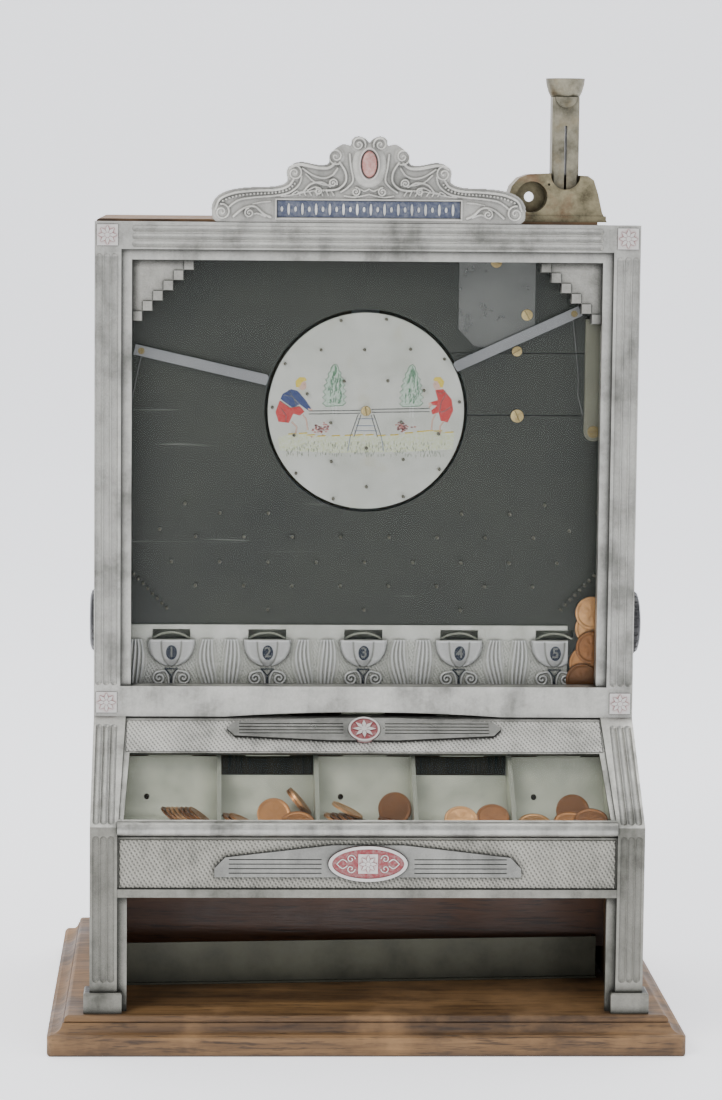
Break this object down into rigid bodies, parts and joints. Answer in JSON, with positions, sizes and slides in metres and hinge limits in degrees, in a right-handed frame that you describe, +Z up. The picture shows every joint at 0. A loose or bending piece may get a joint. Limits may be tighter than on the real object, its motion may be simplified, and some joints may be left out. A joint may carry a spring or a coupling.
{
  "type": "coin pusher machine",
  "caption": "Counter-top coin game in a wooden case: cast window frame, rocking disc and pins behind glass, plunger coin head, glazed coin tray and payout cavity",
  "frame": {"origin": "centre of the base board's underside", "axes": "X to the player's right, Y from the player to the back, Z up"},
  "size_m": [0.358, 0.262, 0.546],
  "materials": {
    "oak": "stained oak, worn satin varnish",
    "cast_aluminium": "polished cast aluminium, worn, grey in the hollows",
    "red_enamel": "aluminium picked out in faded red",
    "brass": "tarnished brass",
    "steel": "plain steel",
    "zinc_sheet": "dull grey sheet",
    "painted_board": "plywood, dark grey-green paint, scratched",
    "painted_disc": "steel disc with a painted picture",
    "black_knob": "black moulded knob",
    "copper_coins": "worn copper coins",
    "glass": "clear window glass"
  },
  "bodies": {
    "case": {"access_panel": "painted_board", "apron": "cast_aluminium", "arm_springs": "steel", "back_rails": "oak", "board_blocks": "oak", "board_screws": "brass", "cavity_board": "oak", "cavity_plate": "zinc_sheet", "channel_coins": "copper_coins", "chute_plate": "zinc_sheet", "coin_head": "brass", "coin_rail": "cast_aluminium", "coin_troughs": "zinc_sheet", "column_left": "cast_aluminium", "column_right": "cast_aluminium", "compartment_backs": "zinc_sheet", "compartment_coins": "copper_coins", "compartment_dividers": "zinc_sheet", "corner_brackets": "cast_aluminium", "corner_rosettes": "red_enamel", "crest": "cast_aluminium", "cup_strip": "cast_aluminium", "disc_bridge": "steel", "glass_clips": "steel", "hinge_leaves_fixed": "brass", "lock_strike": "steel", "medallions": "red_enamel", "number_cups": "cast_aluminium", "pivot_pins": "steel", "playfield_board": "painted_board", "playfield_pins": "steel", "plunger_spring": "steel", "reeded_bars": "cast_aluminium", "rod_bushes": "brass", "side_panel_left": "oak", "side_panel_right": "oak", "sloped_frame": "cast_aluminium", "sloped_glass": "glass", "top_panel": "oak", "tray_floor": "zinc_sheet", "window_frame": "cast_aluminium", "window_glass": "glass", "wood_base": "oak"},
    "disc_rotor": {"disc": "painted_disc", "disc_pins": "steel", "disc_hub": "brass", "disc_weight": "steel"},
    "right_arm": {"arm_right": "zinc_sheet"},
    "left_arm": {"arm_left": "zinc_sheet"},
    "plunger": {"plunger_stem": "brass", "thumb_cup": "brass"},
    "payout": {"payout_rod": "steel", "payout_knobs": "black_knob", "payout_fingers": "steel"},
    "door": {"back_door": "oak", "hinge_leaves_door": "brass", "lock_barrel": "brass"},
    "lock": {"lock_plug": "brass"},
    "drawer": {"cash_drawer": "oak", "drawer_pull": "brass"}
  },
  "joints": [
    {"name": "disc_rock", "type": "hinge", "parent": "case", "child": "disc_rotor", "pos_m": [0.0006, -0.0272, 0.354], "axis": [0, -1, 0], "range_deg": [-9, 9]},
    {"name": "right_arm_swing", "type": "hinge", "parent": "case", "child": "right_arm", "pos_m": [0.1202, -0.0307, 0.4112], "axis": [0, -1, 0], "range_deg": [-7, 7]},
    {"name": "left_arm_swing", "type": "hinge", "parent": "case", "child": "left_arm", "pos_m": [-0.1293, -0.0307, 0.3881], "axis": [0, -1, 0], "range_deg": [-7, 7]},
    {"name": "plunger_slide", "type": "slide", "parent": "case", "child": "plunger", "axis": [0, 0, 1], "range_m": [-0.008, 0], "stiffness_N_per_m": 250, "springref_m": 0.006, "deforming": ["plunger_spring"]},
    {"name": "payout_turn", "type": "hinge", "parent": "case", "child": "payout", "pos_m": [0, -0.01, 0.229], "axis": [1, 0, 0], "range_deg": [-10, 60]},
    {"name": "back_door_hinge", "type": "hinge", "parent": "case", "child": "door", "pos_m": [-0.144, 0.1124, 0.27], "axis": [0, 0, 1], "range_deg": [0, 110]},
    {"name": "lock_turn", "type": "hinge", "parent": "door", "child": "lock", "pos_m": [0.118, 0.104, 0.27], "axis": [0, -1, 0], "range_deg": [0, 90]},
    {"name": "cash_drawer_slide", "type": "slide", "parent": "case", "child": "drawer", "axis": [0, 1, 0], "range_m": [0, 0.11]}
  ],
  "couplings": [
    {"joint": "right_arm_swing", "follows": "disc_rock", "ratio": -0.754},
    {"joint": "left_arm_swing", "follows": "disc_rock", "ratio": -0.77}
  ]
}
